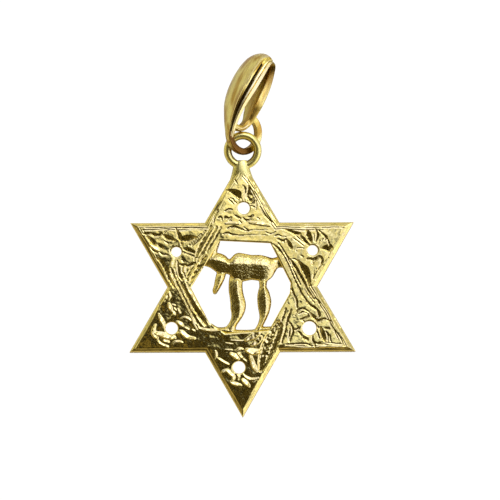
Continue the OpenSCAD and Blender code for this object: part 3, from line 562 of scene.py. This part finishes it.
def star_plate():
    """The plate: a sheet of small triangles cut to its outline, with a worked front, walls and a back."""
    bm = bmesh.new()
    inner = [bm.verts.new((*polar(CORNER_R, 60 * k), 0)) for k in range(6)]
    tips = [bm.verts.new((*polar(STAR_R, 60 * k + 30), 0)) for k in range(6)]
    middle = bm.verts.new((0, 0, 0))
    for k in range(6):
        bm.faces.new((middle, inner[k], inner[(k + 1) % 6]))
        bm.faces.new((inner[k], tips[k], inner[(k + 1) % 6]))
    bmesh.ops.subdivide_edges(bm, edges=bm.edges[:], cuts=CELLS - 1, use_grid_fill=True)

    centres = np.array([f.calc_center_median()[:2] for f in bm.faces])
    gone = segment_distance(centres, WINDOW_XY)[1] | (centres[:, 1] > SOLDER_END - SLIVER)
    for hx, hy, r in HOLES:
        gone |= np.hypot(centres[:, 0] - hx, centres[:, 1] - hy) < r
    faces = bm.faces[:]
    bmesh.ops.delete(bm, geom=[f for f, out in zip(faces, gone) if out], context="FACES")

    rim = [e for e in bm.edges if e.is_boundary]
    rim_verts = list({v for e in rim for v in e.verts})
    xy = coords(rim_verts)[:, :2]
    dist, _, foot = segment_distance(xy, WINDOW_XY)
    for v, p, d, f in zip(rim_verts, xy, dist, foot):
        if d < NEAR:
            v.co.xy = f
        elif p[1] > SOLDER_END - NEAR:
            v.co.y = SOLDER_END
        for hx, hy, r in HOLES:
            off = Vector((p[0] - hx, p[1] - hy))
            if off.length < r + NEAR:
                v.co.xy = Vector((hx, hy)) + off.normalized() * r
    front = bm.verts[:]
    for v, z in zip(front, plate_height(coords(front)[:, :2])):
        v.co.z = z

    wall = bmesh.ops.extrude_edge_only(bm, edges=rim)["geom"]
    foot_verts = [g for g in wall if isinstance(g, bmesh.types.BMVert)]
    for v in foot_verts:
        v.co.z = 0
        if v.co.xy.length < WINDOW_R + NEAR:
            v.co.xy += v.co.xy.normalized() * DRAFT
        for hx, hy, r in HOLES:
            off = v.co.xy - Vector((hx, hy))
            if off.length < r + NEAR:
                v.co.xy += off.normalized() * DRAFT
    foot_set = set(foot_verts)
    foot_edges = [g for g in wall if isinstance(g, bmesh.types.BMEdge) and foot_set.issuperset(g.verts)]
    for e in rim + foot_edges:
        e.smooth = False
    bmesh.ops.triangle_fill(bm, edges=foot_edges, normal=(0, 0, -1))
    bmesh.ops.recalc_face_normals(bm, faces=bm.faces)
    return mm_object("star_plate", bm)


def loft(bm, rings):
    """Closed skin through rings of points: a grid laid over them, closed along its seam and at both ends."""
    rows, count = len(rings) - 1, len(rings[0])
    sheet = bmesh.ops.create_grid(bm, x_segments=rows, y_segments=count, size=1)["verts"]
    places = {}
    for v in sheet:
        places[v] = round((v.co.y + 1) / 2 * count) % count
        v.co = rings[round((v.co.x + 1) / 2 * rows)][places[v]]
    bmesh.ops.remove_doubles(bm, verts=sheet, dist=1e-6)
    bmesh.ops.holes_fill(bm, edges=[e for e in bm.edges if e.is_boundary])
    return {v: place for v, place in places.items() if v.is_valid}


def fused(name, bm, voxel, rounds):
    """Lofts that cross each other, fused into one skin of even small faces and eased."""
    bmesh.ops.recalc_face_normals(bm, faces=bm.faces)
    obj = mm_object(name + "_lofts", bm)
    remesh = obj.modifiers.new("fuse", "REMESH")
    remesh.mode = "VOXEL"
    remesh.voxel_size = voxel * MM
    smooth = obj.modifiers.new("ease", "SMOOTH")
    smooth.factor = 0.5
    smooth.iterations = rounds
    mesh = bpy.data.meshes.new_from_object(obj.evaluated_get(bpy.context.evaluated_depsgraph_get()))
    bpy.data.objects.remove(obj)
    for face in mesh.polygons:
        face.use_smooth = True
    whole = bpy.data.objects.new(name, mesh)
    bpy.context.scene.collection.objects.link(whole)
    return whole


def emblem():
    """The pierced emblem: strokes that cross each other, fused into one skin."""
    bm = bmesh.new()
    for strokes, upright in [(LEVEL_STROKES, False), (UPRIGHT_STROKES, True)]:
        for rows in strokes.values():
            rings = []
            for along, middle, half, height in curve(rows, steps=4):
                ring = []
                for u, h in EMBLEM_FACE:
                    side = middle + u * (half + EASED)
                    z = EMBLEM_BACK + h * height * (EMBLEM_TOP - EMBLEM_BACK)
                    ring.append((side + EASED, along, z) if upright else (along + EASED, side, z))
                rings.append(ring)
            loft(bm, rings)
    return fused("emblem", bm, voxel=0.06, rounds=2)


def top_ring():
    """Round wire ring and the solder that flows from the star's point round its foot."""
    bm = bmesh.new()
    start = bmesh.ops.create_circle(
        bm, segments=28, radius=RING_WIRE / 2 + EASED,
        matrix=Matrix.Translation((RING_R, 0, 0)) @ Matrix.Rotation(pi / 2, 4, "X"))["verts"]
    section = start + list({e for v in start for e in v.link_edges})
    bmesh.ops.spin(bm, geom=section, cent=(0, 0, 0), axis=(0, 0, 1), angle=2 * pi, steps=110, use_merge=True)
    foot = Matrix.Translation((RING_X, RING_Y - RING_R, RING_Z))
    turn = Matrix.Rotation(radians(RING_TILT), 4, "X")
    bmesh.ops.transform(bm, matrix=foot @ turn @ Matrix.Translation((0, RING_R, 0)), verts=bm.verts)
    rings = []
    for y, half, top, shift in curve(SOLDER, steps=5):
        rings.append([(shift + u * half, y, h * top) for u, h in SOLDER_FACE])
    loft(bm, rings)
    return fused("top_ring", bm, voxel=0.05, rounds=2)


def finish_leaf(bm, places):
    """Paints shade on the leaf's groove and its thin line as a nearly black colour, and a pale painted
    highlight on its ridge and right edge, which are also worn.
    """
    for f in bm.faces:
        spots = {places[v] for v in f.verts}
        # Painted shade: the groove's floor turns nearly black below where its shade starts
        if spots <= GROOVE:
            below = sum((v.co - FOLD_TOP).length for v in f.verts)
            f.material_index = 1 if below > len(f.verts) * GROOVE_START else 0
        # Painted shade on the thin line as well, on its upper side only
        if spots <= THIN_SHADE_LINE and f.calc_center_median().z > 0:
            f.material_index = 1
        # Pale painted highlight on the worn ridge and right edge, on the front only
        if all(v.co.z > FRONT_START * BAIL_DEPTH for v in f.verts) and any(spots <= edge for edge in HIGHLIT_WORN_EDGES):
            f.material_index = 2


def strip(rows):
    """Strip of the bail: rows of (depth, height, width, thickness, crown, share of the leaf's section)."""
    rings = []
    for i, (depth, height, width, thick, crown, leafy) in enumerate(rows):
        ahead, behind = rows[min(i + 1, len(rows) - 1)], rows[max(i - 1, 0)]
        run = Vector((ahead[0] - behind[0], ahead[1] - behind[1])).normalized()
        ring = []
        for (u, h), (leg_u, leg_h) in zip(LEAF_FACE, LEG_FACE):
            u, h = leg_u + leafy * (u - leg_u), leg_h + leafy * (h - leg_h)
            out = h * thick - crown * (2 * u) ** 2
            ring.append((u * width, height + out * run.x, depth - out * run.y))
        rings.append(ring)
    bm = bmesh.new()
    places = loft(bm, rings)
    if rows[-1][5]:
        finish_leaf(bm, places)
    bmesh.ops.recalc_face_normals(bm, faces=bm.faces)
    bmesh.ops.transform(bm, matrix=BAIL_PLACE, verts=bm.verts)
    return bm


def eased(value, start, end):
    """Smooth step from 0 at the start to 1 at the end."""
    t = min(max((value - start) / (end - start), 0), 1)
    return t * t * (3 - 2 * t)


def painted_shade(mesh):
    """Marks where shade is painted on the bail as a brown colour: inside the top of its fold and round the
    lower left of its loop, by how the metal faces there.
    """
    shade = mesh.attributes.new("painted_shade", "FLOAT", "POINT")
    upright = BAIL_PLACE.inverted()
    facing = BAIL_PLACE.to_3x3() @ Vector((0, 0, 1))
    for v, mark in zip(mesh.vertices, shade.data):
        spot = v.co / MM
        here = upright @ spot
        inwards = (FOLD_MIDDLE - here) * Vector((0, 1, 1))
        inside = eased(upright.to_3x3() @ v.normal @ inwards.normalized(), *FOLD_INWARDS)
        fold = FOLD_SHADE * inside * eased(here.y / BAIL_H, *FOLD_HEIGHT)
        low = eased(-spot.y - LOOP_SLOPE * spot.x, *LOOP_LOW) * eased(-v.normal @ facing, *LOOP_AWAY)
        mark.value = max(fold, low)


def bail(finishes):
    """The bail: a strip up the back, over the top and down the leaf, soldered to the small loop."""
    sizes = np.array([BAIL_DEPTH, BAIL_H, LEG_W, LEG_T])
    leg = np.hstack([np.array(LEG) * sizes, np.zeros((len(LEG), 2))])
    leaf = np.hstack([np.array(LEAF) * (BAIL_DEPTH, BAIL_H, LEAF_W, LEAF_T, 1.0), np.ones((len(LEAF), 1))])
    leaf[:len(BLEND), 5] = BLEND
    whole = mm_object("bail", strip(curve(np.vstack([leg, leaf]), steps=8)))
    arc = [(LOOP_R * cos(radians(a)), -LOOP_R * sin(radians(a)), LOOP_W, LOOP_THICK, 0, 0) for a in LOOP_ARC]
    loop = mm_object("loop", strip(np.array(arc)))
    for finish in finishes:
        whole.data.materials.append(finish)
        loop.data.materials.append(finish)
    union = whole.modifiers.new("solder", "BOOLEAN")
    union.operation = "UNION"
    union.solver = "EXACT"
    union.use_self = True
    union.object = loop
    soldered = bpy.data.meshes.new_from_object(whole.evaluated_get(bpy.context.evaluated_depsgraph_get()))
    whole.modifiers.clear()
    whole.data = soldered
    bpy.data.objects.remove(loop)
    bm = bmesh.new()
    bm.from_mesh(soldered)
    for e in bm.edges:
        e.smooth = e.calc_face_angle(0) < SHARPEST
    bm.to_mesh(soldered)
    bm.free()
    # Painted shade inside the fold and under the loop, kept as an attribute that the satin finish turns brown
    painted_shade(soldered)
    return whole


def fill(tree, node, inputs):
    """Links the named inputs of a node to outputs, or sets them to values."""
    for socket, source in inputs.items():
        if isinstance(source, bpy.types.NodeSocket):
            tree.links.new(source, node.inputs[socket])
        else:
            node.inputs[socket].default_value = source


def add_node(tree, kind, inputs, output=0, stops=(), **settings):
    """Adds a node with its settings, inputs and colour stops (place, colour). Gives one of its outputs."""
    node = tree.nodes.new(kind)
    for key, value in settings.items():
        setattr(node, key, value)
    fill(tree, node, inputs)
    if stops:
        points = node.color_ramp.elements
        while len(points) < len(stops):
            points.new(1.0)
        for point, (place, colour) in zip(points, stops):
            point.position = place
            point.color = (*colour, 1)
    return node.outputs[output] if node.outputs else None


def span(edge, values=(0, 1)):
    """Inputs of a map range node that turn one span of values into another."""
    return {"From Min": edge[0], "From Max": edge[1], "To Min": values[0], "To Max": values[1]}


MIX_A, MIX_B, MIXED = 6, 7, 2   # the colour sockets of a mix node


def srgb(code):
    """Linear colour of an sRGB hex value."""
    parts = [int(code[i:i + 2], 16) / 255 for i in (1, 3, 5)]
    linear = [c / 12.92 if c <= 0.04045 else ((c + 0.055) / 1.055) ** 2.4 for c in parts]
    return (*linear, 1.0)


# Worn streaks: how many times broader than the grain they are, and where in the noise they fade out
WORN_STEP, WORN_EDGE = 3, (0.4, 0.58)


def gold(name, colour, roughness, grain, depth, worn=None, painted_shade_colour=None, stretch=(1, 1, 1),
         turn=(0, 0, 0)):
    """A gold finish whose bump has a grain and a depth in millimetres, with a worn colour in streaks, and a
    brown painted shade where the mesh's attribute marks it.
    """
    mat = bpy.data.materials.new(name)
    mat.use_nodes = True
    tree = mat.node_tree
    place = add_node(tree, "ShaderNodeTexCoord", {}, "Object")
    aligned = add_node(tree, "ShaderNodeMapping", {"Vector": place, "Rotation": turn, "Scale": stretch},
                       vector_type="TEXTURE")
    texture = add_node(tree, "ShaderNodeTexNoise",
                       {"Vector": aligned, "Scale": 1 / (grain * MM), "Detail": 3.0})
    bump = add_node(tree, "ShaderNodeBump", {"Height": texture, "Strength": 1.0, "Distance": depth * MM})
    base = srgb(colour)
    if worn:
        broad = add_node(tree, "ShaderNodeTexNoise",
                         {"Vector": aligned, "Scale": 1 / (WORN_STEP * grain * MM), "Detail": 4.0})
        bright = add_node(tree, "ShaderNodeMapRange", {"Value": broad, **span(WORN_EDGE)})
        base = add_node(tree, "ShaderNodeMix", {"Factor": bright, MIX_A: srgb(worn), MIX_B: base}, MIXED,
                        data_type="RGBA")
    # Brown painted shade where the mesh's attribute marks it
    if painted_shade_colour:
        mark = add_node(tree, "ShaderNodeAttribute", {}, "Fac", attribute_name="painted_shade")
        base = add_node(tree, "ShaderNodeMix", {"Factor": mark, MIX_A: base, MIX_B: srgb(painted_shade_colour)},
                        MIXED, data_type="RGBA")
    fill(tree, tree.nodes["Principled BSDF"],
         {"Base Color": base, "Metallic": 1.0, "Roughness": roughness, "Normal": bump})
    return mat


# Plate: near a mirror, so that each cut gives the eye one bright and one dark side
polished = gold("polished_yellow_gold", "#F7E48A", roughness=0.08, grain=0.35, depth=0.005)
# Emblem: the same gold with the casting's fine pits, which break its reflections up into sparkle
pitted = gold("pitted_yellow_gold", "#F7E48A", roughness=0.12, grain=0.25, depth=0.055)
# Ring and solder: a softer polish, whose highlights run broad and pale along the wire
soft = gold("soft_polished_yellow_gold", "#FFF28C", roughness=0.3, grain=0.35, depth=0.01)
# Floor of the leaf's groove and a thin line beside it: painted shade, a nearly black colour that draws their
# dark lines
groove_shade = gold("painted_shade_groove", "#2E220C", roughness=0.45, grain=0.3, depth=0.01)
# Leaf's ridge and right edge: worn, and coloured pale as a painted highlight, which draws pale lines beside
# the dark one
worn_and_highlit = gold("worn_edge_painted_highlight", "#FFEDA4", roughness=0.32, grain=0.3, depth=0.006)
# Bail: a satin gold with duller streaks along its length, and brown painted shade inside the top of the fold
# and round the lower left of the loop
satin = gold("satin_yellow_gold", "#FFEF84", roughness=0.25, grain=0.3, depth=0.014, worn="#CCA644",
             painted_shade_colour="#7A5624", stretch=(1, 6, 1), turn=(0, radians(-BAIL_TURN), radians(-BAIL_LEAN)))

pieces = [(star_plate(), polished, "star", "polished_gold"), (emblem(), pitted, "star", "polished_gold"),
          (top_ring(), soft, "star", "polished_gold"),
          (bail([satin, groove_shade, worn_and_highlit]), None, "bail", "satin_gold")]
for piece, finish, node, slot in pieces:
    if finish:
        piece.data.materials.append(finish)
    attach(piece, "root")
    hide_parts(node)

# Floor, just under the bail's lowest point, so that it doesn't share the plane of the star's back
FLOOR_Z, FLOOR_SIZE = -0.045, 400
bm = bmesh.new()
bmesh.ops.create_grid(bm, x_segments=1, y_segments=1, size=FLOOR_SIZE)
bmesh.ops.translate(bm, vec=(0, 0, FLOOR_Z), verts=bm.verts)
floor = mm_object("floor", bm, smooth=False)

# White card: it lights the pendant as matt card does, and looks pure white to the camera
card = bpy.data.materials.new("white_card")
card.use_nodes = True
tree = card.node_tree
matt = tree.nodes["Principled BSDF"]
fill(tree, matt, {"Base Color": (0.9, 0.9, 0.88, 1), "Roughness": 0.9})
seen = add_node(tree, "ShaderNodeLightPath", {}, "Is Camera Ray")
white = add_node(tree, "ShaderNodeEmission", {"Color": (1, 1, 1, 1), "Strength": 1.05})
both = add_node(tree, "ShaderNodeMixShader", {0: seen, 1: matt.outputs["BSDF"], 2: white})
fill(tree, tree.nodes["Material Output"], {"Surface": both})
floor.data.materials.append(card)

# Studio, with its colours as linear light. The softbox fills the room on one side of a plane
SOFTBOX_TILT = radians(3.9)
SOFTBOX = Vector((*(c * cos(SOFTBOX_TILT) for c in LIGHT_SIDE), -sin(SOFTBOX_TILT)))
ROOM = [(-1.0, (0.009, 0.007, 0.002)), (-0.012, (0.014, 0.011, 0.003)), (0.012, (0.93, 0.94, 1.2)),
        (0.13, (1.1, 1.11, 1.75)), (0.3, (1.65, 1.67, 3.8)), (0.6, (0.78, 0.77, 1.05)),
        (1.0, (0.45, 0.43, 0.45))]   # light by how far a way points to the softbox, from -1 to 1
PEAK = 3.8   # brightest value above, of which the nodes hold all colours as shares
TINTS = [(0.4, (1.0, 0.94, 0.6)), (0.6, (0.94, 1.0, 1.0))]   # warm and cool parts of the softbox
LEFT_END, LEFT_SHARE = (0.96, 0.0, 0.28), 0.07   # the softbox ends before the left side of the room
LEFT_EDGE = (-0.05, 0.04)
DARK_WALL, LIT_WALL = (0.36, 0.28, 0.15), (0.6, 0.57, 0.44)   # low walls on the dark side and on the lit one
WALL_STRENGTH, WALL_FADE = 1.7, (0.25, 0.88)   # and the heights between which they fade out
SHELVES, SHELF_EDGE = (0.25, 0.19, 0.07), (0.49, 0.64)   # brown shelves on the dark side
SIDE_CARD, SIDE_CARD_WAY = (1.5, 1.45, 1.6), Vector((0.94, -0.3, 0.18)).normalized()
SIDE_CARD_EDGE = (0.58, 0.97)
PATCHES, PATCH_EDGE = (0.3, 1.45), (0.36, 0.64)   # strengths of the dim and bright patches of the whole room
TONE_SCALE, PATCH_SCALE, SHELF_SCALE = 9.0, 13.0, 27.0   # how small the uneven parts are


def dimmed(colour):
    """Colour as a share of the brightest light."""
    return [c / PEAK for c in colour]


def softbox_light(tree, way, side):
    """Light of the softbox, uneven in colour, which ends before the left side of the room."""
    box = add_node(tree, "ShaderNodeValToRGB", {"Fac": side},
                   stops=[((place + 1) / 2, dimmed(colour)) for place, colour in ROOM])
    tones = add_node(tree, "ShaderNodeTexNoise", {"Vector": way, "Scale": TONE_SCALE})
    tint = add_node(tree, "ShaderNodeValToRGB", {"Fac": tones}, stops=TINTS)
    tinted = add_node(tree, "ShaderNodeVectorMath", {0: box, 1: tint}, operation="MULTIPLY")
    left = add_node(tree, "ShaderNodeVectorMath", {0: way, 1: LEFT_END}, "Value", operation="DOT_PRODUCT")
    ended = add_node(tree, "ShaderNodeMapRange", {"Value": left, **span(LEFT_EDGE, (LEFT_SHARE, 1))},
                     interpolation_type="SMOOTHSTEP")
    return add_node(tree, "ShaderNodeVectorMath", {0: tinted, 1: ended}, operation="MULTIPLY")


def wall_light(tree, way, side):
    """Light of the room's low walls, which fades out upwards."""
    wall = add_node(tree, "ShaderNodeValToRGB", {"Fac": side},
                    stops=[(0.08, dimmed(DARK_WALL)), (0.5, dimmed(LIT_WALL))])
    height = add_node(tree, "ShaderNodeSeparateXYZ", {"Vector": way}, "Z")
    low = add_node(tree, "ShaderNodeMapRange", {"Value": height, **span(WALL_FADE, (WALL_STRENGTH, 0))},
                   interpolation_type="SMOOTHSTEP")
    return add_node(tree, "ShaderNodeVectorMath", {0: wall, 1: low}, operation="MULTIPLY")


def shelf_light(tree, way):
    """Small brown patches, which give the dark sides of the cuts their colour."""
    spots = add_node(tree, "ShaderNodeTexNoise", {"Vector": way, "Scale": SHELF_SCALE, "Detail": 1.0})
    shelf = add_node(tree, "ShaderNodeMapRange", {"Value": spots, **span(SHELF_EDGE)},
                     interpolation_type="SMOOTHSTEP")
    return add_node(tree, "ShaderNodeVectorMath", {0: shelf, 1: dimmed(SHELVES)}, operation="MULTIPLY")


def side_card_light(tree, way):
    """Light of a white card at the right, which shows along the bail."""
    facing = add_node(tree, "ShaderNodeVectorMath", {0: way, 1: SIDE_CARD_WAY}, "Value",
                      operation="DOT_PRODUCT")
    glow = add_node(tree, "ShaderNodeMapRange", {"Value": facing, **span(SIDE_CARD_EDGE)},
                    interpolation_type="SMOOTHSTEP")
    return add_node(tree, "ShaderNodeVectorMath", {0: glow, 1: dimmed(SIDE_CARD)}, operation="MULTIPLY")


world = bpy.data.worlds.new("studio")
bpy.context.scene.world = world
world.use_nodes = True
tree = world.node_tree
tree.nodes.clear()
way = add_node(tree, "ShaderNodeTexCoord", {}, "Generated")
along = add_node(tree, "ShaderNodeVectorMath", {0: way, 1: SOFTBOX}, "Value", operation="DOT_PRODUCT")
side = add_node(tree, "ShaderNodeMapRange", {"Value": along, **span((-1, 1))})
light = softbox_light(tree, way, side)
for other in [wall_light(tree, way, side), shelf_light(tree, way), side_card_light(tree, way)]:
    light = add_node(tree, "ShaderNodeVectorMath", {0: light, 1: other}, operation="MAXIMUM")
patches = add_node(tree, "ShaderNodeTexNoise", {"Vector": way, "Scale": PATCH_SCALE, "Detail": 2.0})
uneven = add_node(tree, "ShaderNodeMapRange", {"Value": patches, **span(PATCH_EDGE, PATCHES)})
strength = add_node(tree, "ShaderNodeMath", {0: uneven, 1: PEAK}, operation="MULTIPLY")
room = add_node(tree, "ShaderNodeBackground", {"Color": light, "Strength": strength})
white = add_node(tree, "ShaderNodeBackground", {"Color": (1, 1, 1, 1), "Strength": 1.2})
seen = add_node(tree, "ShaderNodeLightPath", {}, "Is Camera Ray")
both = add_node(tree, "ShaderNodeMixShader", {0: seen, 1: room, 2: white})
add_node(tree, "ShaderNodeOutputWorld", {"Surface": both})

# Key light, from the softbox's side
KEY_LEAN, KEY_SPREAD, KEY_STRENGTH = radians(38), radians(22), 0.35
key = bpy.data.objects.new("key", bpy.data.lights.new("key", "SUN"))
key.data.energy = KEY_STRENGTH
key.data.angle = KEY_SPREAD
from_key = Vector((*(c * sin(KEY_LEAN) for c in LIGHT_SIDE), cos(KEY_LEAN)))
key.rotation_euler = from_key.to_track_quat("Z", "Y").to_euler()
bpy.context.scene.collection.objects.link(key)

# Camera at the photograph's angle
CAM_EL, CAM_ROLL, CAM_DIST, CAM_RIGHT, CAM_UP = radians(82.358), radians(-0.249), 154.769, 0.887, 4.431
FOCUS_PX, FRAME_PX, SENSOR = 1329.0, 500, 36.0
towards = Vector((0, -cos(CAM_EL), sin(CAM_EL)))
right = Vector((0, 0, 1)).cross(towards).normalized()
up = towards.cross(right)
right, up = (cos(CAM_ROLL) * right + sin(CAM_ROLL) * up, cos(CAM_ROLL) * up - sin(CAM_ROLL) * right)
place = (towards * CAM_DIST + right * CAM_RIGHT + up * CAM_UP) * MM
camera = bpy.data.objects.new("camera", bpy.data.cameras.new("camera"))
camera.data.sensor_width = SENSOR
camera.data.lens = FOCUS_PX * SENSOR / FRAME_PX
camera.data.clip_start = 0.01
camera.matrix_world = Matrix.Translation(place) @ Matrix((right, up, towards)).transposed().to_4x4()
bpy.context.scene.collection.objects.link(camera)
bpy.context.scene.camera = camera
bpy.context.scene.view_settings.view_transform = "Standard"
